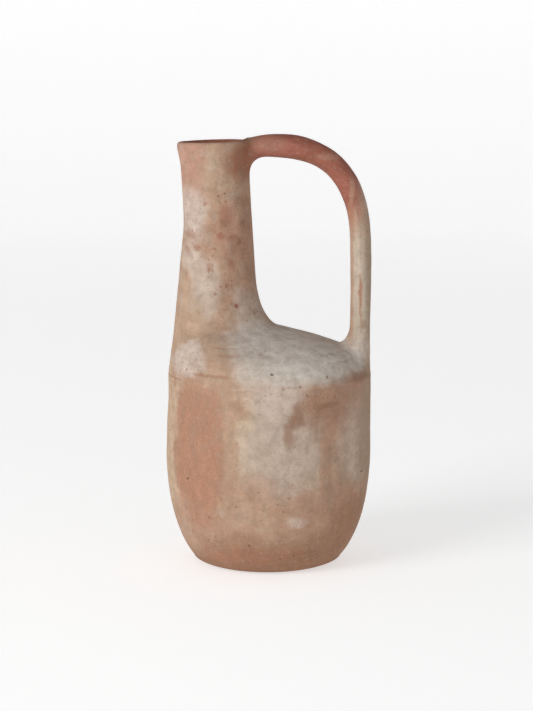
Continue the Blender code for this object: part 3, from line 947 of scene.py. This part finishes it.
# %% The patches over them
breakup = add(
    clay, "MapRange",
    {"Value": mottle, "From Min": 0.32, "From Max": 0.6, "To Min": 0.62, "To Max": 1.0},
).outputs["Result"]
CHALKS = (CHALK, WHITE_CHALK, GREY_CHALK, DUSTY_CHALK)
chalk = 0.0
for patch in FRONT_PATCHES + BACK_PATCHES:
    colour, cover = lay(clay, wander, colour, patch, breakup)
    if patch[4] in CHALKS:
        chalk = add(clay, "Math", {0: cover, 1: chalk}, operation="MAXIMUM").outputs[0]
for label, result in (("Colour", colour), ("Chalk", chalk), ("Place", place), ("Jittered", jitter)):
    clay.links.new(result, clay_out.inputs[label])
print("clay_colours:", len(clay.nodes), "nodes")

# %% [markdown]
# ## Strokes, dust and spots
#
# The second group goes over any colour of clay, so the red handle can have it as well. It darkens and
# lightens the colour a little where a finger or the rib dragged, dusts it, and scatters freckles and
# pits. The same patterns are added up as a height for the bump, so what is seen is also felt.

# %% The second group
wear, wear_in, wear_out = new_group(
    "clay_marks", [("Colour", "Color")], [("Colour", "Color"), ("Height", "Float")]
)
place, jitter, wander = places(wear)
broad, mottle = unevenness(wear, place)
colour = wear_in.outputs["Colour"]

# %% Strokes, up and down on the wall and round on the shoulder
BELT_MIDDLE = 182  # the height of the shoulder, where the strokes run round
BELT_CORE, BELT_EDGE = 16, 32  # how far up and down they rule alone, and where they end
drawn_up = add(wear, "VectorMath", {0: wander, 1: (0.12, 0.12, 0.02)}, operation="MULTIPLY")
up_strokes = add(
    wear, "TexNoise", {"Vector": drawn_up.outputs[0], "Scale": 1.0, "Detail": 6.0, "Roughness": 0.65}
)
drawn_round = add(wear, "VectorMath", {0: place, 1: (0.02, 0.02, 0.3)}, operation="MULTIPLY")
round_strokes = add(
    wear, "TexNoise", {"Vector": drawn_round.outputs[0], "Scale": 1.0, "Detail": 6.0, "Roughness": 0.6}
)
wander_axes = add(wear, "SeparateXYZ", {0: wander})
off_belt = add(wear, "Math", {0: wander_axes.outputs["Z"], 1: BELT_MIDDLE}, operation="SUBTRACT")
off_belt = add(wear, "Math", {0: off_belt.outputs[0]}, operation="ABSOLUTE")
belt = add(
    wear, "MapRange", {"Value": off_belt.outputs[0], "From Min": BELT_EDGE, "From Max": BELT_CORE},
    interpolation_type="SMOOTHSTEP",
)
stroke = add(
    wear, "MixRGB",
    {
        "Fac": belt.outputs["Result"],
        "Color1": up_strokes.outputs["Fac"],
        "Color2": round_strokes.outputs["Fac"],
    },
).outputs["Color"]
print("strokes run round from", BELT_MIDDLE - BELT_CORE, "to", BELT_MIDDLE + BELT_CORE, "mm up")

# %% Light and dark from strokes, mottling and grain
grain = add(wear, "TexNoise", {"Vector": place, "Scale": 1 / 1.1, "Detail": 3.0, "Roughness": 0.7})
SHADINGS = [
    # pattern, how much darker and lighter it makes the colour, its relief in mm
    (stroke, 0.07, 0.1),
    (mottle, 0.14, 0.24),
    (grain.outputs["Fac"], 0.11, 0.09),
]
light = 1.0
for pattern, most, _ in SHADINGS:
    shading = add(
        wear, "MapRange",
        {"Value": pattern, "From Min": 0.3, "From Max": 0.7, "To Min": 1 - most, "To Max": 1 + most},
    )
    light = add(wear, "Math", {0: light, 1: shading.outputs["Result"]}, operation="MULTIPLY").outputs[0]
colour = add(wear, "HueSaturation", {"Value": light, "Color": colour}).outputs["Color"]
print("strokes, mottling and grain")

# %% Dust
dust_noise = add(wear, "TexNoise", {"Vector": place, "Scale": 1 / 3.6, "Detail": 6.0, "Roughness": 0.75})
dust = add(
    wear, "MapRange",
    {"Value": dust_noise.outputs["Fac"], "From Min": 0.52, "From Max": 0.78, "To Max": 0.3},
)
colour = add(
    wear, "MixRGB", {"Fac": dust.outputs["Result"], "Color1": colour, "Color2": linear(CHALK)}
).outputs["Color"]
print("dust in specks 3.6 mm apart")

# %% Iron freckles, pits and the single marks
SPOTS = [
    # cell in mm, share of cells left bare, size of the spots, colour, strength, depth in mm
    (3.1, 0.35, 0.48, SMOKE_AND_SHADE_BROWN, 0.55, 0.0),
    (4.6, 0.4, 0.5, BURNT_CLAY, 0.6, 0.0),
    (5.8, 0.5, 0.32, PIT, 0.65, 0.2),
    (19.0, 0.5, 0.08, PIT, 0.85, 0.5),
]
FRECKLED_NECK = ((-30, -20, 262), (26, 60, 60), ROUND, 0.7, BROWN, 1.0)
MARK_DEPTH = 0.35
freckled = add(
    wear, "MapRange",
    {"Value": broad, "From Min": 0.44, "From Max": 0.62, "To Min": 0.2, "To Max": 0.9},
)
on_neck = cover_of(wear, wander, FRECKLED_NECK)
freckled = add(wear, "Math", {0: freckled.outputs["Result"], 1: on_neck}, operation="MAXIMUM").outputs[0]
ragged = add(wear, "TexNoise", {"Vector": place, "Scale": 1 / 1.6, "Detail": 2.0})
ragged = add(wear, "VectorMath", {0: ragged.outputs["Color"], "Scale": 3.2}, operation="SCALE")
ragged_place = add(wear, "VectorMath", {0: place, 1: ragged.outputs[0]}, operation="ADD").outputs[0]
sunk = 0.0
for cell, spared, size, shade, strength, depth in SPOTS:
    spots = add(wear, "TexVoronoi", {"Vector": ragged_place, "Scale": 1 / cell})
    chance = add(wear, "SeparateColor", {0: spots.outputs["Color"]})
    over = add(wear, "Math", {0: chance.outputs[0], 1: spared}, operation="SUBTRACT")
    spot_size = add(wear, "Math", {0: over.outputs[0], 1: size}, operation="MULTIPLY")
    within = add(
        wear, "Math", {0: spot_size.outputs[0], 1: spots.outputs["Distance"]}, operation="SUBTRACT"
    )
    spot = add(wear, "MapRange", {"Value": within.outputs[0], "From Min": -0.02, "From Max": 0.04})
    faint = add(wear, "Math", {0: spot.outputs["Result"], 1: strength}, operation="MULTIPLY")
    shown = add(wear, "Math", {0: faint.outputs[0], 1: freckled}, operation="MULTIPLY")
    colour = add(
        wear, "MixRGB", {"Fac": shown.outputs[0], "Color1": colour, "Color2": linear(shade)}
    ).outputs["Color"]
    sunk = add(
        wear, "Math", {0: spot.outputs["Result"], 1: -depth, 2: sunk}, operation="MULTIPLY_ADD"
    ).outputs[0]
for mark in SMALL_MARKS:
    colour, cover = lay(wear, jitter, colour, mark)
    sunk = add(wear, "Math", {0: cover, 1: -MARK_DEPTH, 2: sunk}, operation="MULTIPLY_ADD").outputs[0]
print(len(SPOTS), "kinds of spot and", len(SMALL_MARKS), "single marks")

# %% The worn foot, and the height of every mark
foot_wear = add(
    wear, "MapRange", {"Value": wander_axes.outputs["Z"], "From Min": 11, "From Max": 2, "To Max": 0.7}
)
colour = add(
    wear, "MixRGB", {"Fac": foot_wear.outputs["Result"], "Color1": colour, "Color2": linear(SMOKE_AND_SHADE_BROWN)}
).outputs["Color"]
relief = sunk
for pattern, _, rise in SHADINGS:
    relief = add(wear, "Math", {0: pattern, 1: rise, 2: relief}, operation="MULTIPLY_ADD").outputs[0]
for label, result in (("Colour", colour), ("Height", relief)):
    wear.links.new(result, wear_out.inputs[label])
print("clay_marks:", len(wear.nodes), "nodes")

# %% [markdown]
# ## The finishes
#
# Six finishes share that weathering. The wall, shoulder and neck differ only in how smooth the potter
# left them; the rim turns red-brown inside the mouth, where the slip pooled; the handle was burnished
# while leather-hard, so its red clay is tighter and a little glossier; the floor stayed plain.


# %% A finish
def finish(name, rough, chalk_rough=0.95):
    """A clay material. Returns it, its nodes, its colours and the marks laid over them."""
    made = bpy.data.materials.new(name)
    made.use_nodes = True
    tree = made.node_tree
    colours = add(tree, "Group", node_tree=clay)
    marks = add(tree, "Group", node_tree=wear)
    tree.links.new(colours.outputs["Colour"], marks.inputs["Colour"])
    roughness = add(
        tree, "MapRange", {"Value": colours.outputs["Chalk"], "To Min": rough, "To Max": chalk_rough}
    )
    bump = add(tree, "Bump", {"Height": marks.outputs["Height"], "Distance": MM, "Strength": 1.0})
    skin = tree.nodes["Principled BSDF"]
    skin.inputs["Specular IOR Level"].default_value = 0.25
    tree.links.new(marks.outputs["Colour"], skin.inputs["Base Color"])
    tree.links.new(roughness.outputs["Result"], skin.inputs["Roughness"])
    tree.links.new(bump.outputs["Normal"], skin.inputs["Normal"])
    return made, tree, colours, marks


# %% Four plain finishes
bloomed, *_ = finish("bloomed_wall_clay", 0.86)  # dry, open clay that the bloom dusted over
scraped, *_ = finish("scraped_shoulder_clay", 0.88)  # a rib dragged round and round it
streaked, *_ = finish("streaked_neck_clay", 0.84)  # wet fingers drawn up it
bare, *_ = finish("bare_floor_clay", 0.92)  # never smoothed, and worn underneath
print("four finishes, all dull: the clay is porous")

# %% The rim, red-brown inside the mouth: slip fills the pores, so it is a little smoother
MOUTH_AXIS = (float(mouth_centre), 0.0, 0.0)
lip_clay, tree, weathering, marks = finish("slipped_rim_clay", 0.72)
rim_place = weathering.outputs["Place"]
across = add(tree, "VectorMath", {0: rim_place, 1: MOUTH_AXIS}, operation="SUBTRACT")
across = add(tree, "VectorMath", {0: across.outputs[0], 1: (1, 1, 0)}, operation="MULTIPLY")
across = add(tree, "VectorMath", {0: across.outputs[0]}, operation="LENGTH")
rim_axes = add(tree, "SeparateXYZ", {0: rim_place})
slip_edge = add(
    tree, "MapRange",
    {"Value": rim_axes.outputs["Z"], "From Min": 342, "From Max": 348, "To Min": 25.6, "To Max": 28.0},
)
inside_edge = add(
    tree, "Math", {0: slip_edge.outputs["Result"], 1: across.outputs["Value"]}, operation="SUBTRACT"
)
pooled = add(tree, "MapRange", {"Value": inside_edge.outputs[0], "From Min": -0.4, "From Max": 0.8})
lip_colour = add(
    tree, "MixRGB",
    {"Fac": pooled.outputs["Result"], "Color1": weathering.outputs["Colour"], "Color2": linear(LIP_RED)},
)
tree.links.new(lip_colour.outputs["Color"], marks.inputs["Colour"])
print("rim finish:", len(tree.nodes), "nodes")

# %% [markdown]
# ## The handle's finish
#
# The arch is red clay with strokes that run along it. The strokes need a place measured along the
# strap, so the arch is read as an angle round its middle and the leg as a height. Chalk takes over on
# the outside of the bend and down the leg; its inner edge stays tan.
# Pale streaks on the bend and the leg are painted highlights, and the leg's outer side carries painted
# shade.

# %% Burnished red clay: rubbing closes the surface, so it has a soft sheen
ARCH_MIDDLE = (20.0, 0.0, 285.0)
ARCH_RADIUS = 55.0  # turns an angle round the arch into millimetres along it
burnished, tree, weathering, marks = finish("burnished_handle_clay", 0.62)
strap_place, strap_jitter = weathering.outputs["Place"], weathering.outputs["Jittered"]
from_arch = add(tree, "VectorMath", {0: strap_place, 1: ARCH_MIDDLE}, operation="SUBTRACT")
arch = add(tree, "SeparateXYZ", {0: from_arch.outputs[0]})
above = add(tree, "Math", {0: arch.outputs["Z"], 1: 0.0}, operation="MAXIMUM")
below = add(tree, "Math", {0: arch.outputs["Z"], 1: 0.0}, operation="MINIMUM")
angle = add(tree, "Math", {0: above.outputs[0], 1: arch.outputs["X"]}, operation="ARCTAN2")
along = add(
    tree, "Math", {0: angle.outputs[0], 1: ARCH_RADIUS, 2: below.outputs[0]}, operation="MULTIPLY_ADD"
)
flat = add(tree, "CombineXYZ", {0: arch.outputs["X"], 1: above.outputs[0]})
outward = add(tree, "VectorMath", {0: flat.outputs[0]}, operation="LENGTH")
unrolled = add(
    tree, "CombineXYZ", {0: along.outputs[0], 1: outward.outputs["Value"], 2: arch.outputs["Y"]}
)
drawn = add(tree, "VectorMath", {0: unrolled.outputs[0], 1: (0.03, 0.45, 0.45)}, operation="MULTIPLY")
strokes = add(tree, "TexNoise", {"Vector": drawn.outputs[0], "Scale": 1.0, "Detail": 4.0})
stroke_light = add(
    tree, "MapRange",
    {"Value": strokes.outputs["Fac"], "From Min": 0.3, "From Max": 0.7, "To Min": 0.91, "To Max": 1.09},
).outputs["Result"]
red = add(tree, "HueSaturation", {"Value": stroke_light, "Color": linear(RED_CLAY)})
chalky = add(tree, "HueSaturation", {"Value": stroke_light, "Color": linear(LEG_CHALK)})
print("strokes run along the strap, about 2 mm wide and 33 mm long")

# %% Chalk down the leg, from a ragged edge where the arch turns down
CHALK_STARTS, CHALK_FULL = 292, 269  # heights on the strap, in mm
RAGGED = 34.0  # how far apart the highest and lowest points of the chalk's edge may lie
stain = add(tree, "TexNoise", {"Vector": strap_place, "Scale": 1 / 9, "Detail": 4.0})
strap_axes = add(tree, "SeparateXYZ", {0: strap_place})
ragged_height = add(
    tree, "Math", {0: stain.outputs["Fac"], 1: RAGGED, 2: strap_axes.outputs["Z"]},
    operation="MULTIPLY_ADD",
)
chalked = add(
    tree, "MapRange",
    {
        "Value": ragged_height.outputs[0],
        "From Min": CHALK_STARTS + RAGGED / 2,
        "From Max": CHALK_FULL + RAGGED / 2,
    },
    interpolation_type="SMOOTHSTEP",
)
strap_colour = add(
    tree, "MixRGB",
    {"Fac": chalked.outputs["Result"], "Color1": red.outputs["Color"], "Color2": chalky.outputs["Color"]},
).outputs["Color"]
print("chalk on the strap below", CHALK_STARTS, "mm, full below", CHALK_FULL)

# %% Its own patches: buff on the outside of the bend, tan along the inner edge, painted highlights and painted shade
STRAP_PATCHES = [
    ((87, 0, 290), (14, 20, 40), ROUND, 0.95, BUFF, 0.95),
    # the next two pale streaks, on the bend and at the top of the leg, are painted highlights
    ((69, -8, 312), (2.4, 14, 10), ROUND, 0.9, CREAM, 0.35),
    ((71.5, -8, 283), (2.0, 14, 14), ROUND, 0.9, CREAM, 0.6),
    ((68, 0, 236), (2.6, 20, 70), BOXY, 0.9, ORANGE_TAN, 0.6),
    ((76, -10, 226), (1.3, 14, 15), ROUND, 0.9, TERRACOTTA, 0.9),
    ((76.6, -10, 207), (1.0, 14, 12), ROUND, 0.9, TERRACOTTA, 0.5),
    ((79, -8, 200), (2.4, 14, 3.4), ROUND, 0.9, SMOKE_AND_SHADE_BROWN, 0.5),
    # olive down the leg's outer side, darkened as painted shade on the side away from the light
    ((89, 0, 240), (9, 20, 110), ROUND, 0.9, OLIVE_WITH_SHADE, 1.0),
    ((0, -8, 348), (16, 14, 7), ROUND, 0.9, PINK_CLAY, 0.4),
    # a light pinkish scratch on the arch, partly a painted highlight
    ((50, -8, 338), (10, 14, 2.5), ROUND, 0.9, PINK_CLAY, 0.6),
    ((10, -4, 336), (34, 14, 3), ROUND, 0.9, BURNT_CLAY, 0.6),
]  # fmt: skip
for patch in STRAP_PATCHES:
    strap_colour, _ = lay(tree, strap_jitter, strap_colour, patch)
print(len(STRAP_PATCHES), "patches on the strap")

# %% Near its two ends the handle takes the colours of the neck and the shoulder
off_neck = add(
    tree, "MapRange", {"Value": strap_axes.outputs["X"], "From Min": -20, "From Max": -4},
    interpolation_type="SMOOTHSTEP",
)
off_shoulder = add(
    tree, "MapRange", {"Value": strap_axes.outputs["Z"], "From Min": 172, "From Max": 194},
    interpolation_type="SMOOTHSTEP",
)
own = add(
    tree, "Math", {0: off_neck.outputs["Result"], 1: off_shoulder.outputs["Result"]},
    operation="MULTIPLY",
)
blended = add(
    tree, "MixRGB",
    {"Fac": own.outputs[0], "Color1": weathering.outputs["Colour"], "Color2": strap_colour},
)
tree.links.new(blended.outputs["Color"], marks.inputs["Colour"])
print("handle finish:", len(tree.nodes), "nodes")

# %% Each piece gets its finish
for piece, clay_finish in (
    (floor_slab, bare), (coil, bare), (wall, bloomed), (shoulder, scraped), (neck, streaked),
    (rim, lip_clay), (handle, burnished),
):  # fmt: skip
    piece.data.materials.append(clay_finish)
    print(piece.name, "is", clay_finish.name)

# %% [markdown]
# ## The table, the light and the camera
#
# A potter's pictures are taken on white paper swept up behind the pot, in window light. Here the paper
# is a shallow dish, so it stands behind the pitcher from every side. It glows a little, as well-lit
# paper does, which keeps it pale where the window's light falls off.

# %% A shallow white dish, the same from every side
DISH_FLAT, DISH_BEND, DISH_HEIGHT = 2.8, 1.0, 1.3  # metres
DISH_SIDES = 96
PAPER_WHITE = "#dadada"
PAPER_GLOW = 0.54
profile = [(DISH_FLAT * share, 0.0) for share in np.linspace(0.1, 1, 6)]
for bend in np.linspace(0, math.pi / 2, 16)[1:]:
    profile.append((DISH_FLAT + DISH_BEND * math.sin(bend), DISH_BEND * (1 - math.cos(bend))))
profile.append((DISH_FLAT + DISH_BEND, DISH_HEIGHT))
dish_turn = np.linspace(0, 2 * math.pi, DISH_SIDES, endpoint=False)
points = [(r * math.cos(a), r * math.sin(a), z) for r, z in profile for a in dish_turn]
faces = [tuple(range(DISH_SIDES))]
for start in range(0, (len(profile) - 1) * DISH_SIDES, DISH_SIDES):
    for k in range(DISH_SIDES):
        near, far = start + k, start + (k + 1) % DISH_SIDES
        faces.append((near, near + DISH_SIDES, far + DISH_SIDES, far))
floor_data = bpy.data.meshes.new("pale_floor")
floor_data.from_pydata(points, [], faces)
floor_data.validate()
floor_data.shade_smooth()
floor = bpy.data.objects.new("pale_floor", floor_data)
bpy.context.scene.collection.objects.link(floor)
print(f"the paper is {2 * DISH_FLAT} m across before it turns up")

# %% White paper: matt, and a little self-lit
paper = bpy.data.materials.new("white_paper")
paper.use_nodes = True
paper_skin = paper.node_tree.nodes["Principled BSDF"]
paper_skin.inputs["Base Color"].default_value = linear(PAPER_WHITE)
paper_skin.inputs["Roughness"].default_value = 0.9
paper_skin.inputs["Emission Color"].default_value = (1, 1, 1, 1)
paper_skin.inputs["Emission Strength"].default_value = PAPER_GLOW
floor_data.materials.append(paper)
print("paper:", PAPER_WHITE)

# %% Soft daylight from the left
SKY_STRENGTH = 0.28
WINDOW_PLACE = (-2.16, -2.02, 1.29)
WINDOW_SIZE = (1.49, 1.76)
WINDOW_WATTS = 51
POT_MIDDLE = (0, 0, 0.17)
world = bpy.context.scene.world or bpy.data.worlds.new("studio")
bpy.context.scene.world = world
world.use_nodes = True
world.node_tree.nodes["Background"].inputs["Color"].default_value = (1, 1, 1, 1)
world.node_tree.nodes["Background"].inputs["Strength"].default_value = SKY_STRENGTH


def turned_to(place, target):
    """The turn that points a lamp or a camera from a place to a target."""
    return (Vector(target) - Vector(place)).to_track_quat("-Z", "Y").to_euler()


window_data = bpy.data.lights.new("window", "AREA")
window_data.shape = "RECTANGLE"
window_data.size, window_data.size_y = WINDOW_SIZE
window_data.energy = WINDOW_WATTS
window = bpy.data.objects.new("window", window_data)
window.location = WINDOW_PLACE
window.rotation_euler = turned_to(WINDOW_PLACE, POT_MIDDLE)
window.visible_camera = False
bpy.context.scene.collection.objects.link(window)
bpy.context.scene.view_settings.view_transform = "Standard"
print(f"window light of {WINDOW_WATTS} W, {WINDOW_SIZE[0]} by {WINDOW_SIZE[1]} m")

# %% The camera, two metres off and a hand's length above the rim
CAMERA_PLACE = (-0.001245, -2.0111, 0.4813)
CAMERA_AIM = (-0.001245, 0.0, 0.1725)
CAMERA_LENS = 124.12  # on a sensor 36 mm wide
camera_data = bpy.data.cameras.new("camera")
camera_data.sensor_width = 36.0
camera_data.lens = CAMERA_LENS
camera = bpy.data.objects.new("camera", camera_data)
camera.location = CAMERA_PLACE
camera.rotation_euler = turned_to(CAMERA_PLACE, CAMERA_AIM)
bpy.context.scene.collection.objects.link(camera)
bpy.context.scene.camera = camera
print(f"a {CAMERA_LENS:.0f} mm lens")
